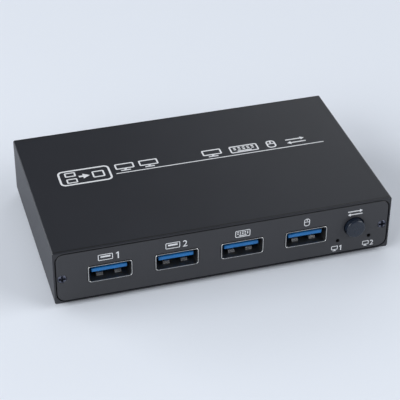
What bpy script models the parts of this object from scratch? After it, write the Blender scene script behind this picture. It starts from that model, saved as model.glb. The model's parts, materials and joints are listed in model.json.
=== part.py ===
"""A two-computer keyboard, video and mouse switch box, modelled piece by piece.

Metres, +Z up. The front panel faces -Y and the box stands on its four feet at Z = 0.
The origin lies under the middle of the whole object's box.
"""
import math
from dataclasses import dataclass

import bmesh
import bpy

# Clearances
FIT_GAP = 0.0003
SCREW_CLEARANCE = 0.0002
SOCKET_GAP = 0.00015

# Case sleeve
CASE_WIDTH = 0.103
CASE_DEPTH = 0.0618
WALL = 0.0012
RIM = 0.0005
RIM_CHAMFER = 0.0002
CASE_EDGE_RADIUS = 0.0006
BORE_CORNER = 0.0008
UNDER_BOARD = 0.0019
HEADROOM = 0.00137
BOARD_LEDGE = 0.0014
BOSS_RADIUS = 0.0020

# End panels
PANEL_THICKNESS = 0.0012
PANEL_CORNER_RADIUS = 0.0026
PANEL_EDGE_CHAMFER = 0.00012

# Panel screws
SCREW_HEAD_RADIUS = 0.0013
SCREW_SHANK_RADIUS = 0.0008
SCREW_LENGTH = 0.0060
SCREW_EDGE_MARGIN = 0.00015
SCREW_DROP = 0.0003
SCREW_CROSS_LENGTH = 0.0020
SCREW_CROSS_WIDTH = 0.0006
SCREW_CROSS_DEPTH = 0.0007

# Feet
FOOT_RADIUS = 0.0040
FOOT_STANDOFF = 0.0015
FOOT_CHAMFER = 0.0004
FOOT_RECESS = 0.0005
FOOT_INSET = 0.0103

# Circuit board
BOARD_THICKNESS = 0.0016

# Front row of sockets, from the left end and the right end of the case
FRONT_FIRST_INSET = 0.01652
FRONT_LAST_INSET = 0.02675
FRONT_COUNT = 4
# Rear row of sockets
REAR_END_INSET = 0.0072

# How far a socket's mouth stands out of its panel
SOCKET_PROUD = 0.0002
LEG_WIDTH = 0.0016
LEG_TIP = 0.0008
LEG_SHARE_OF_WALL = 0.8

# Push button and its switch
BUTTON_INSET = 0.0115
BUTTON_LIFT = 0.00504
BUTTON_RADIUS = 0.0030
BUTTON_PROUD = 0.0018
BUTTON_EDGE = 0.0003
BUTTON_TRAVEL = 0.0015
BUTTON_FLANGE = 0.0006
BUTTON_FLANGE_THICKNESS = 0.0008
BUTTON_SOCKET_DEPTH = 0.0022
PLUNGER_SIZE = 0.0026
PLUNGER_FLANGE = 0.0048
PLUNGER_FLANGE_THICKNESS = 0.0008
SWITCH_WIDTH = 0.0080
SWITCH_ABOVE_AXIS = 0.0036
SWITCH_WALL = 0.0008
SWITCH_COVER_THICKNESS = 0.0005
SPRING_LENGTH = 0.0042
SPRING_RADIUS = 0.0014
SPRING_WIRE_RADIUS = 0.00014
SPRING_TURNS = 4

# Status lamps
LAMP_SPREAD = 0.0050
LAMP_HOLE_RADIUS = 0.00065
LAMP_WIDTH = 0.0024
LAMP_HEIGHT = 0.0008
LAMP_DEPTH = 0.0011
LAMP_LENS_RADIUS = 0.0003

# Number of straight steps in round shapes
CORNER_STEPS = 8
ROUND_STEPS = 32
SMALL_ROUND_STEPS = 16
SPRING_STEPS = 9
PAST = 0.002


@dataclass
class Socket:
    """One kind of cable socket: a metal shell and the moulded insert with its tongue."""

    opening_width: float
    opening_height: float
    wall: float
    depth: float
    corner: float
    lift: float
    tongue_width: float
    tongue_thickness: float
    tongue_drop: float
    tongue_setback: float
    back: float
    base: float
    low_cut: float = 0.0
    high_cut: float = 0.0
    plain_outside: bool = False
    tip_step: float = 0.0
    tip_length: float = 0.0

    def outer_width(self):
        return self.opening_width + 2 * self.wall

    def outer_height(self):
        return self.opening_height + 2 * self.wall

    def centre_z(self):
        return BOARD_TOP + self.lift + self.outer_height() / 2

    def opening(self):
        return outline(self.opening_width, self.opening_height, self.corner, self.low_cut, self.high_cut)

    def outside(self, grow=0.0):
        spread = self.wall + grow
        # A chamfer moved outwards keeps its slant line parallel at the same distance.
        slant = spread * (2 - math.sqrt(2))
        low = self.low_cut + slant if self.low_cut and not self.plain_outside else 0.0
        high = self.high_cut + slant if self.high_cut and not self.plain_outside else 0.0
        width = self.opening_width + 2 * spread
        height = self.opening_height + 2 * spread
        return outline(width, height, self.corner + spread, low, high)


@dataclass
class Chip:
    """A soldered part: its size, and its place from the board's middle or, across, from the power socket."""

    name: str
    width: float
    depth: float
    height: float
    x: float
    y: float
    finish: str = "chip_black"
    by_power: bool = False


TYPE_A = Socket(
    opening_width=0.0125, opening_height=0.00512, wall=0.0003, depth=0.0140, corner=0.0006, lift=0.0013,
    tongue_width=0.0106, tongue_thickness=0.00184, tongue_drop=0.0009, tongue_setback=0.0012,
    back=0.0030, base=0.0030, tip_step=0.00064, tip_length=0.0030,
)
TYPE_B = Socket(
    opening_width=0.00845, opening_height=0.00778, wall=0.0014, depth=0.0160, corner=0.0004, lift=FIT_GAP,
    tongue_width=0.0056, tongue_thickness=0.0032, tongue_drop=0.0023, tongue_setback=0.0012,
    back=0.0040, base=0.0015, high_cut=0.0016, plain_outside=True,
)
VIDEO = Socket(
    opening_width=0.0140, opening_height=0.00455, wall=0.00035, depth=0.0110, corner=0.0005, lift=FIT_GAP,
    tongue_width=0.0101, tongue_thickness=0.0013, tongue_drop=0.0016, tongue_setback=0.0008,
    back=0.0030, base=0.0015, low_cut=0.0015,
)
POWER = Socket(
    opening_width=0.0069, opening_height=0.00185, wall=0.0003, depth=0.0050, corner=0.0003, lift=FIT_GAP,
    tongue_width=0.0037, tongue_thickness=0.0006, tongue_drop=0.0004, tongue_setback=0.0005,
    back=0.0014, base=0.0010, low_cut=0.0006,
)

# Rear row as seen from the front, left to right
REAR_ROW = (
    ("type_b_2", TYPE_B),
    ("video_in_2", VIDEO),
    ("type_b_1", TYPE_B),
    ("video_in_1", VIDEO),
    ("video_out", VIDEO),
    ("power", POWER),
)

# Parts soldered on the board
VIDEO_SWITCH_CHIP = Chip("video_switch_chip", width=0.0140, depth=0.0140, height=0.0012, x=-0.0080, y=0.0)
HUB_CHIP = Chip("hub_chip", width=0.0080, depth=0.0080, height=0.0010, x=0.0120, y=-0.0040)
CONTROLLER_CHIP = Chip("controller_chip", width=0.0070, depth=0.0070, height=0.0010, x=0.0240, y=0.0030)
CRYSTAL = Chip(
    "crystal", width=0.0050, depth=0.0032, height=0.0010, x=0.0210, y=-0.0080, finish="crystal_can"
)
INDUCTOR = Chip(
    "inductor", width=0.0060, depth=0.0060, height=0.0030, x=-0.00325, y=0.0050,
    finish="inductor_grey", by_power=True,
)
REGULATOR = Chip(
    "regulator", width=0.0065, depth=0.0035, height=0.0017, x=-0.00325, y=-0.0040, by_power=True
)
CHIPS = (VIDEO_SWITCH_CHIP, HUB_CHIP, CONTROLLER_CHIP, CRYSTAL, INDUCTOR, REGULATOR)
CAPACITOR_RADIUS = 0.0025
CAPACITOR_HEIGHT = 0.0054
CAPACITOR_OFFSET = -0.0095
CAPACITOR_PLACES = (("capacitor_1", 0.0100), ("capacitor_2", -0.0060))

# Heights worked out from the stack: foot, floor, leads, board, tallest socket, headroom, roof
CASE_HEIGHT = (
    2 * WALL + UNDER_BOARD + BOARD_THICKNESS + TYPE_B.lift
    + TYPE_B.opening_height + 2 * TYPE_B.wall + HEADROOM
)
CASE_BOTTOM = FOOT_STANDOFF
CASE_TOP = CASE_BOTTOM + CASE_HEIGHT
CASE_MIDDLE = CASE_BOTTOM + CASE_HEIGHT / 2
FLOOR = CASE_BOTTOM + WALL
CEILING = CASE_TOP - WALL
BOARD_BOTTOM = FLOOR + UNDER_BOARD
BOARD_TOP = BOARD_BOTTOM + BOARD_THICKNESS

# The case is set back so that the button's reach keeps the origin in the middle.
CASE_CENTRE_Y = (BUTTON_PROUD - SOCKET_PROUD) / 2
FRONT_Y = CASE_CENTRE_Y - CASE_DEPTH / 2
REAR_Y = CASE_CENTRE_Y + CASE_DEPTH / 2
FRONT_SHOULDER = FRONT_Y + PANEL_THICKNESS + FIT_GAP
REAR_SHOULDER = REAR_Y - PANEL_THICKNESS - FIT_GAP

INNER_HALF_WIDTH = CASE_WIDTH / 2 - WALL
PANEL_WIDTH = CASE_WIDTH - 2 * (RIM + FIT_GAP)
PANEL_HEIGHT = CASE_HEIGHT - 2 * (RIM + FIT_GAP)
SCREW_X = PANEL_WIDTH / 2 - SCREW_EDGE_MARGIN - SCREW_CLEARANCE - SCREW_HEAD_RADIUS
SCREW_Z = CASE_MIDDLE - SCREW_DROP
BUTTON_X = CASE_WIDTH / 2 - BUTTON_INSET
BUTTON_Z = BOARD_TOP + BUTTON_LIFT
LAMP_Z = BOARD_TOP + FIT_GAP + LAMP_HEIGHT / 2

# Places along the button's line, from the front inwards
CAP_FRONT = FRONT_Y - BUTTON_PROUD
FLANGE_FRONT = FRONT_Y + PANEL_THICKNESS + FIT_GAP
CAP_REAR = FLANGE_FRONT + BUTTON_FLANGE_THICKNESS
COVER_FRONT = CAP_REAR + BUTTON_TRAVEL + FIT_GAP
COVER_REAR = COVER_FRONT + SWITCH_COVER_THICKNESS
SWITCH_FRONT = COVER_REAR + FIT_GAP
PLUNGER_FLANGE_REAR = SWITCH_FRONT + PLUNGER_FLANGE_THICKNESS
SPRING_FRONT = PLUNGER_FLANGE_REAR + FIT_GAP
SPRING_REAR = SPRING_FRONT + SPRING_LENGTH
SWITCH_BACK_WALL = SPRING_REAR + FIT_GAP
SWITCH_REAR = SWITCH_BACK_WALL + SWITCH_WALL

MATERIALS = {
    "case_charcoal": ((0.045, 0.046, 0.052), 0.42, 0.6),
    "panel_charcoal": ((0.050, 0.050, 0.054), 0.50, 0.5),
    "screw_black": ((0.030, 0.032, 0.040), 0.35, 0.9),
    "shell_nickel": ((0.62, 0.62, 0.62), 0.28, 1.0),
    "insert_blue": ((0.020, 0.160, 0.520), 0.40, 0.0),
    "insert_black": ((0.020, 0.020, 0.022), 0.50, 0.0),
    "button_slate": ((0.030, 0.036, 0.058), 0.35, 0.0),
    "foot_rubber": ((0.015, 0.015, 0.015), 0.85, 0.0),
    "board_green": ((0.020, 0.110, 0.050), 0.45, 0.0),
    "chip_black": ((0.018, 0.018, 0.020), 0.55, 0.0),
    "crystal_can": ((0.60, 0.60, 0.58), 0.30, 1.0),
    "inductor_grey": ((0.12, 0.12, 0.12), 0.60, 0.0),
    "capacitor_can": ((0.55, 0.56, 0.58), 0.35, 1.0),
    "switch_black": ((0.025, 0.025, 0.025), 0.50, 0.0),
    "switch_steel": ((0.55, 0.55, 0.54), 0.35, 1.0),
    "plunger_white": ((0.70, 0.70, 0.68), 0.50, 0.0),
    "spring_steel": ((0.50, 0.50, 0.50), 0.30, 1.0),
    "lamp_clear": ((0.75, 0.78, 0.80), 0.25, 0.0),
}


def clear_scene():
    for item in list(bpy.data.objects):
        bpy.data.objects.remove(item, do_unlink=True)


def material(name):
    """The named finish, made on its first use."""
    found = bpy.data.materials.get(name)
    if found:
        return found
    colour, roughness, metallic = MATERIALS[name]
    made = bpy.data.materials.new(name)
    made.use_nodes = True
    shader = made.node_tree.nodes["Principled BSDF"]
    shader.inputs["Base Color"].default_value = (*colour, 1.0)
    shader.inputs["Roughness"].default_value = roughness
    shader.inputs["Metallic"].default_value = metallic
    made.diffuse_color = (*colour, 1.0)
    return made


def outline(width, height, radius, low_cut=0.0, high_cut=0.0):
    """A rectangle about the origin, counter-clockwise; each corner is round or, with a cut, chamfered."""
    points = []
    for corner, (side, level) in enumerate(((-1, -1), (1, -1), (1, 1), (-1, 1))):
        cut = low_cut if level < 0 else high_cut
        size = cut or radius
        steps = 1 if cut else CORNER_STEPS
        for step in range(steps + 1):
            angle = math.pi + (corner + step / steps) * math.pi / 2
            across = side * (width / 2 - size) + size * math.cos(angle)
            up = level * (height / 2 - size) + size * math.sin(angle)
            points.append((across, up))
    return points


def block(width, height):
    """A plain rectangle about the origin."""
    half_width = width / 2
    half_height = height / 2
    return [
        (-half_width, -half_height), (half_width, -half_height),
        (half_width, half_height), (-half_width, half_height),
    ]


def moved(points, across, up):
    return [(x + across, z + up) for x, z in points]


def add_loft(bm, rings):
    """A closed body through rings of equally many points."""
    loops = [[bm.verts.new(point) for point in ring] for ring in rings]
    for low, high in zip(loops, loops[1:]):
        for index in range(len(low)):
            after = (index + 1) % len(low)
            bm.faces.new((low[index], low[after], high[after], high[index]))
    bm.faces.new(list(reversed(loops[0])))
    bm.faces.new(loops[-1])


def add_along_y(bm, points, start, end):
    """An outline in X and Z drawn out along Y."""
    add_loft(bm, [[(x, y, z) for x, z in points] for y in (start, end)])


def add_along_x(bm, points, start, end):
    """An outline in Y and Z drawn out along X."""
    add_loft(bm, [[(x, y, z) for y, z in points] for x in (start, end)])


def add_along_z(bm, points, start, end):
    """An outline in X and Y drawn out along Z."""
    add_loft(bm, [[(x, y, z) for x, y in points] for z in (start, end)])


def add_turned_y(bm, profile, x, z, steps):
    """A round body about a line along Y; the profile gives (y, radius) pairs."""
    turns = [2 * math.pi * step / steps for step in range(steps)]
    add_loft(bm, [[(x + r * math.cos(t), y, z + r * math.sin(t)) for t in turns] for y, r in profile])


def add_turned_z(bm, profile, x, y, steps):
    """A round body about an upright line; the profile gives (z, radius) pairs."""
    turns = [2 * math.pi * step / steps for step in range(steps)]
    add_loft(bm, [[(x + r * math.cos(t), y + r * math.sin(t), z) for t in turns] for z, r in profile])


def make(name, bm, finish, smooth=False):
    """An object from the mesh, with its normals outwards and its own finish."""
    bmesh.ops.recalc_face_normals(bm, faces=bm.faces)
    mesh = bpy.data.meshes.new(name)
    bm.to_mesh(mesh)
    bm.free()
    if smooth:
        mesh.shade_smooth()
        mesh.set_sharp_from_angle(angle=math.radians(35))
    if finish:
        mesh.materials.append(material(finish))
    item = bpy.data.objects.new(name, mesh)
    bpy.context.scene.collection.objects.link(item)
    return item


def combine(target, name, bm, operation):
    """Cuts the mesh out of the target, or joins it on; the tool body stays as a hidden guide."""
    tool = make(name, bm, None)
    tool.hide_render = True
    tool.display_type = "WIRE"
    step = target.modifiers.new(name, "BOOLEAN")
    step.operation = operation
    step.solver = "EXACT"
    step.object = tool


def cut(target, name, bm):
    combine(target, name, bm, "DIFFERENCE")


def screw_places():
    """Name, side of the case, face of the panel and the way in, for each panel screw."""
    for end, face, inward in (("front", FRONT_Y, 1), ("rear", REAR_Y, -1)):
        for side, sign in (("left", -1), ("right", 1)):
            yield f"{end}_{side}_screw", sign * SCREW_X, face, inward


def screw_profile(face, inward, spread):
    """Countersunk head and shank as (y, radius), from the panel's face inwards."""
    head = SCREW_HEAD_RADIUS - SCREW_SHANK_RADIUS
    return [
        (face, SCREW_HEAD_RADIUS + spread),
        (face + inward * head, SCREW_SHANK_RADIUS + spread),
        (face + inward * (SCREW_LENGTH + spread), SCREW_SHANK_RADIUS + spread),
    ]


def screw_hole(x, face, inward):
    """The screw with its clearance, run out past the panel's face."""
    bm = bmesh.new()
    profile = screw_profile(face, inward, SCREW_CLEARANCE)
    profile.insert(0, (face - inward * PAST, SCREW_HEAD_RADIUS + SCREW_CLEARANCE))
    add_turned_y(bm, profile, x, SCREW_Z, SMALL_ROUND_STEPS)
    return bm


def foot_places():
    for end, y in (("front", FRONT_Y + FOOT_INSET), ("rear", REAR_Y - FOOT_INSET)):
        for side, sign in (("left", -1), ("right", 1)):
            yield f"{end}_{side}_foot", sign * (CASE_WIDTH / 2 - FOOT_INSET), y


def sleeve_bore():
    """Outline of the hollow, each half upwards: board ledge, board groove, screw boss, wall, cut corner."""
    ledge_x = INNER_HALF_WIDTH - BOARD_LEDGE
    boss_x = SCREW_X - BOSS_RADIUS
    boss_top = SCREW_Z + BOSS_RADIUS
    right = [
        (ledge_x, FLOOR),
        (ledge_x, BOARD_BOTTOM - FIT_GAP),
        (INNER_HALF_WIDTH, BOARD_BOTTOM - FIT_GAP),
        (INNER_HALF_WIDTH, BOARD_TOP + FIT_GAP),
        (boss_x, BOARD_TOP + FIT_GAP),
        (boss_x, boss_top),
        (INNER_HALF_WIDTH, boss_top),
        (INNER_HALF_WIDTH, CEILING - BORE_CORNER),
        (INNER_HALF_WIDTH - BORE_CORNER, CEILING),
    ]
    return right + [(-x, z) for x, z in reversed(right)]


def build_sleeve():
    """The extruded tube, its bore, the two mouths that take the panels, and the foot recesses."""
    full = moved(outline(CASE_WIDTH, CASE_HEIGHT, CASE_EDGE_RADIUS), 0, CASE_MIDDLE)
    narrow = moved(
        outline(CASE_WIDTH - 2 * RIM_CHAMFER, CASE_HEIGHT - 2 * RIM_CHAMFER, CASE_EDGE_RADIUS), 0, CASE_MIDDLE
    )
    ends = (
        (FRONT_Y, narrow), (FRONT_Y + RIM_CHAMFER, full),
        (REAR_Y - RIM_CHAMFER, full), (REAR_Y, narrow),
    )
    bm = bmesh.new()
    add_loft(bm, [[(x, y, z) for x, z in ring] for y, ring in ends])
    sleeve = make("case_sleeve", bm, "case_charcoal")

    bore = bmesh.new()
    add_along_y(bore, sleeve_bore(), FRONT_Y - PAST, REAR_Y + PAST)
    cut(sleeve, "sleeve_bore", bore)

    mouth = moved(
        outline(CASE_WIDTH - 2 * RIM, CASE_HEIGHT - 2 * RIM, PANEL_CORNER_RADIUS + FIT_GAP), 0, CASE_MIDDLE
    )
    mouths = bmesh.new()
    add_along_y(mouths, mouth, FRONT_Y - PAST, FRONT_SHOULDER)
    add_along_y(mouths, mouth, REAR_SHOULDER, REAR_Y + PAST)
    cut(sleeve, "sleeve_mouths", mouths)

    recesses = bmesh.new()
    for name, x, y in foot_places():
        radius = FOOT_RADIUS + FIT_GAP
        profile = ((CASE_BOTTOM - PAST, radius), (CASE_BOTTOM + FOOT_RECESS, radius))
        add_turned_z(recesses, profile, x, y, ROUND_STEPS)
    cut(sleeve, "foot_recesses", recesses)

    for name, x, face, inward in screw_places():
        cut(sleeve, name + "_thread", screw_hole(x, face, inward))


def build_feet():
    for name, x, y in foot_places():
        bm = bmesh.new()
        profile = (
            (0.0, FOOT_RADIUS - FOOT_CHAMFER),
            (FOOT_CHAMFER, FOOT_RADIUS),
            (CASE_BOTTOM + FOOT_RECESS - FIT_GAP, FOOT_RADIUS),
        )
        add_turned_z(bm, profile, x, y, ROUND_STEPS)
        make(name, bm, "foot_rubber", smooth=True)


def front_sockets():
    """Name, kind and place across the case, evenly from the first socket to the last."""
    first = -CASE_WIDTH / 2 + FRONT_FIRST_INSET
    last = CASE_WIDTH / 2 - FRONT_LAST_INSET
    pitch = (last - first) / (FRONT_COUNT - 1)
    for index in range(FRONT_COUNT):
        yield f"type_a_{index + 1}", TYPE_A, first + index * pitch


def rear_sockets():
    """Name, kind and place across the case, with even spaces between the shells."""
    room = CASE_WIDTH - 2 * REAR_END_INSET
    space = (room - sum(kind.outer_width() for name, kind in REAR_ROW)) / (len(REAR_ROW) - 1)
    edge = -room / 2
    for name, kind in REAR_ROW:
        yield name, kind, edge + kind.outer_width() / 2
        edge += kind.outer_width() + space


def all_sockets():
    """Every socket with the plane of its mouth and the way in."""
    for name, kind, x in front_sockets():
        yield name, kind, x, FRONT_Y - SOCKET_PROUD, 1
    for name, kind, x in rear_sockets():
        yield name, kind, x, REAR_Y + SOCKET_PROUD, -1


def leg_boxes(kind, x, mouth, inward, spread):
    """Centre across, thickness and depth span of a shell's two solder legs."""
    thickness = kind.wall * LEG_SHARE_OF_WALL + 2 * spread
    near = mouth + inward * (kind.depth - 1.5 * LEG_WIDTH - spread)
    far = mouth + inward * (kind.depth - 0.5 * LEG_WIDTH + spread)
    for side in (-1, 1):
        yield x + side * (kind.opening_width + kind.wall) / 2, thickness, near, far


def add_legs(bm, kind, x, mouth, inward, spread, low, high):
    for centre, thickness, near, far in leg_boxes(kind, x, mouth, inward, spread):
        add_along_y(bm, moved(block(thickness, high - low), centre, (low + high) / 2), near, far)


def panel_blank(name, face, inward):
    """A plate that fits the mouth with a thin gap all round and a small edge break in front."""
    edge = PANEL_EDGE_CHAMFER
    full = moved(outline(PANEL_WIDTH, PANEL_HEIGHT, PANEL_CORNER_RADIUS), 0, CASE_MIDDLE)
    narrow = moved(
        outline(PANEL_WIDTH - 2 * edge, PANEL_HEIGHT - 2 * edge, PANEL_CORNER_RADIUS - edge), 0, CASE_MIDDLE
    )
    rings = ((face, narrow), (face + inward * edge, full), (face + inward * PANEL_THICKNESS, full))
    bm = bmesh.new()
    add_loft(bm, [[(x, y, z) for x, z in ring] for y, ring in rings])
    return make(name, bm, "panel_charcoal")


def cut_panel(panel, sockets, face, inward, name):
    """Socket cut-outs and countersunk screw holes."""
    holes = bmesh.new()
    for socket, kind, x in sockets:
        hole = moved(kind.outside(SOCKET_GAP), x, kind.centre_z())
        add_along_y(holes, hole, face - inward * PAST, face + inward * (PANEL_THICKNESS + PAST))
    cut(panel, name + "_cutouts", holes)
    for screw, x, screw_face, way in screw_places():
        if way == inward:
            cut(panel, screw + "_hole", screw_hole(x, screw_face, way))


def build_panels():
    front = panel_blank("front_panel", FRONT_Y, 1)
    cut_panel(front, front_sockets(), FRONT_Y, 1, "front")
    holes = bmesh.new()
    span = (FRONT_Y - PAST, FRONT_Y + PANEL_THICKNESS + PAST)
    radius = BUTTON_RADIUS + FIT_GAP
    add_turned_y(holes, [(y, radius) for y in span], BUTTON_X, BUTTON_Z, ROUND_STEPS)
    for side in (-1, 1):
        profile = [(y, LAMP_HOLE_RADIUS) for y in span]
        add_turned_y(holes, profile, BUTTON_X + side * LAMP_SPREAD, LAMP_Z, SMALL_ROUND_STEPS)
    cut(front, "button_and_lamp_holes", holes)

    rear = panel_blank("rear_panel", REAR_Y, -1)
    cut_panel(rear, rear_sockets(), REAR_Y, -1, "rear")


def build_screws():
    for name, x, face, inward in screw_places():
        bm = bmesh.new()
        add_turned_y(bm, screw_profile(face, inward, 0.0), x, SCREW_Z, SMALL_ROUND_STEPS)
        screw = make(name, bm, "screw_black", smooth=True)
        for turn in ("level", "upright"):
            size = (SCREW_CROSS_LENGTH, SCREW_CROSS_WIDTH)
            bar = block(*(size if turn == "level" else size[::-1]))
            slot = bmesh.new()
            end = face + inward * SCREW_CROSS_DEPTH
            add_along_y(slot, moved(bar, x, SCREW_Z), face - inward * PAST, end)
            cut(screw, f"{name}_{turn}_slot", slot)


def build_board():
    """The circuit board in its grooves, with a slot for each shell leg."""
    bm = bmesh.new()
    width = 2 * (INNER_HALF_WIDTH - FIT_GAP)
    depth = REAR_SHOULDER - FRONT_SHOULDER
    add_along_z(bm, moved(block(width, depth), 0, CASE_CENTRE_Y), BOARD_BOTTOM, BOARD_TOP)
    board = make("circuit_board", bm, "board_green")
    slots = bmesh.new()
    for name, kind, x, mouth, inward in all_sockets():
        add_legs(slots, kind, x, mouth, inward, FIT_GAP, BOARD_BOTTOM - PAST, BOARD_TOP + PAST)
    cut(board, "leg_slots", slots)


def build_shell(name, kind, x, mouth, inward):
    """The metal tube of a socket, with a solder leg on each side."""
    z = kind.centre_z()
    rear = mouth + inward * kind.depth
    bm = bmesh.new()
    add_along_y(bm, moved(kind.outside(), x, z), mouth, rear)
    shell = make(name + "_shell", bm, "shell_nickel")
    hollow = bmesh.new()
    add_along_y(hollow, moved(kind.opening(), x, z), mouth - inward * PAST, rear + inward * PAST)
    cut(shell, name + "_hollow", hollow)
    legs = bmesh.new()
    add_legs(legs, kind, x, mouth, inward, 0.0, BOARD_BOTTOM - LEG_TIP, z)
    combine(shell, name + "_legs", legs, "UNION")


def build_insert(name, kind, x, mouth, inward, finish):
    """Tongue, back block and the foot that stands on the board behind the shell."""
    z = kind.centre_z()
    top = z + kind.opening_height / 2 - FIT_GAP
    bottom = z - kind.opening_height / 2 + FIT_GAP
    tongue_top = z + kind.opening_height / 2 - kind.tongue_drop
    tongue_bottom = tongue_top - kind.tongue_thickness
    tip = kind.tongue_setback
    back = kind.depth - kind.back
    behind = kind.depth + FIT_GAP
    rear = kind.depth + FIT_GAP + kind.base
    profile = [
        (tip, tongue_bottom), (back, tongue_bottom), (back, bottom), (behind, bottom),
        (behind, BOARD_TOP + FIT_GAP), (rear, BOARD_TOP + FIT_GAP), (rear, top), (back, top),
        (back, tongue_top),
    ]
    if kind.tip_step:
        step = tip + kind.tip_length
        profile += [(step, tongue_top), (step, tongue_top - kind.tip_step)]
    profile.append((tip, tongue_top - kind.tip_step))
    side = [(mouth + inward * distance, height) for distance, height in profile]
    bm = bmesh.new()
    add_along_x(bm, side, x - kind.tongue_width / 2, x + kind.tongue_width / 2)
    make(name + "_insert", bm, finish)


def build_sockets():
    for name, kind, x, mouth, inward in all_sockets():
        build_shell(name, kind, x, mouth, inward)
        finish = "insert_blue" if kind is TYPE_A else "insert_black"
        build_insert(name, kind, x, mouth, inward, finish)


def on_button_line(item, line):
    """Hangs a piece on the empty that marks the button's line of travel."""
    item.parent = line
    item.matrix_parent_inverse = line.matrix_world.inverted()


def build_button():
    """The cap and the plunger, which travel together along +Y."""
    line = bpy.data.objects.new("button_line", None)
    line.location = (BUTTON_X, FRONT_Y, BUTTON_Z)
    bpy.context.scene.collection.objects.link(line)
    bpy.context.view_layer.update()

    flange_radius = BUTTON_RADIUS + BUTTON_FLANGE
    profile = (
        (CAP_FRONT, BUTTON_RADIUS - BUTTON_EDGE),
        (CAP_FRONT + BUTTON_EDGE / 3, BUTTON_RADIUS - BUTTON_EDGE / 3),
        (CAP_FRONT + BUTTON_EDGE, BUTTON_RADIUS),
        (FLANGE_FRONT, BUTTON_RADIUS),
        (FLANGE_FRONT, flange_radius),
        (CAP_REAR, flange_radius),
    )
    bm = bmesh.new()
    add_turned_y(bm, profile, BUTTON_X, BUTTON_Z, ROUND_STEPS)
    cap = make("button_cap", bm, "button_slate", smooth=True)
    socket = bmesh.new()
    hole = moved(block(PLUNGER_SIZE + 2 * FIT_GAP, PLUNGER_SIZE + 2 * FIT_GAP), BUTTON_X, BUTTON_Z)
    add_along_y(socket, hole, CAP_REAR - BUTTON_SOCKET_DEPTH, CAP_REAR + PAST)
    cut(cap, "button_socket", socket)
    on_button_line(cap, line)

    rod = moved(block(PLUNGER_SIZE, PLUNGER_SIZE), BUTTON_X, BUTTON_Z)
    flange = moved(block(PLUNGER_FLANGE, PLUNGER_FLANGE), BUTTON_X, BUTTON_Z)
    rings = (
        (CAP_REAR - BUTTON_SOCKET_DEPTH + FIT_GAP, rod), (SWITCH_FRONT, rod),
        (SWITCH_FRONT, flange), (PLUNGER_FLANGE_REAR, flange),
    )
    bm = bmesh.new()
    add_loft(bm, [[(x, y, z) for x, z in ring] for y, ring in rings])
    on_button_line(make("switch_plunger", bm, "plunger_white"), line)


def build_switch():
    """Cover plate, cup-shaped housing and return spring of the push switch."""
    low = BOARD_TOP + FIT_GAP
    high = BUTTON_Z + SWITCH_ABOVE_AXIS
    body = moved(block(SWITCH_WIDTH, high - low), BUTTON_X, (low + high) / 2)

    bm = bmesh.new()
    add_along_y(bm, body, COVER_FRONT, COVER_REAR)
    cover = make("switch_cover", bm, "switch_steel")
    window = bmesh.new()
    hole = moved(block(PLUNGER_SIZE + 2 * FIT_GAP, PLUNGER_SIZE + 2 * FIT_GAP), BUTTON_X, BUTTON_Z)
    add_along_y(window, hole, COVER_FRONT - PAST, COVER_REAR + PAST)
    cut(cover, "cover_window", window)

    bm = bmesh.new()
    add_along_y(bm, body, SWITCH_FRONT, SWITCH_REAR)
    housing = make("switch_housing", bm, "switch_black")
    cup = bmesh.new()
    room = PLUNGER_FLANGE + 2 * FIT_GAP
    add_along_y(cup, moved(block(room, room), BUTTON_X, BUTTON_Z), SWITCH_FRONT - PAST, SWITCH_BACK_WALL)
    cut(housing, "switch_cup", cup)

    curve = bpy.data.curves.new("switch_spring", "CURVE")
    curve.dimensions = "3D"
    curve.bevel_depth = SPRING_WIRE_RADIUS
    curve.bevel_resolution = 1
    curve.use_fill_caps = True
    path = curve.splines.new("POLY")
    count = SPRING_TURNS * SPRING_STEPS + 1
    path.points.add(count - 1)
    run = SPRING_LENGTH - 2 * SPRING_WIRE_RADIUS
    for index, point in enumerate(path.points):
        turn = 2 * math.pi * index / SPRING_STEPS
        x = BUTTON_X + SPRING_RADIUS * math.cos(turn)
        y = SPRING_FRONT + SPRING_WIRE_RADIUS + run * index / (count - 1)
        z = BUTTON_Z + SPRING_RADIUS * math.sin(turn)
        point.co = (x, y, z, 1.0)
    curve.materials.append(material("spring_steel"))
    spring = bpy.data.objects.new("switch_spring", curve)
    bpy.context.scene.collection.objects.link(spring)


def build_lamps():
    """Side-looking lamps on the board's front edge, each with a small lens towards its pinhole."""
    front = FRONT_SHOULDER + LAMP_LENS_RADIUS
    for name, side in (("left_lamp", -1), ("right_lamp", 1)):
        x = BUTTON_X + side * LAMP_SPREAD
        bm = bmesh.new()
        body = moved(block(LAMP_WIDTH, LAMP_HEIGHT), x, LAMP_Z)
        add_along_y(bm, body, front, front + LAMP_DEPTH)
        lamp = make(name, bm, "lamp_clear")
        lens = bmesh.new()
        profile = (
            (FRONT_SHOULDER, LAMP_LENS_RADIUS / 2),
            (FRONT_SHOULDER + LAMP_LENS_RADIUS / 2, LAMP_LENS_RADIUS),
            (front + LAMP_DEPTH / 2, LAMP_LENS_RADIUS),
        )
        add_turned_y(lens, profile, x, LAMP_Z, SMALL_ROUND_STEPS)
        combine(lamp, name + "_lens", lens, "UNION")


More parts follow.
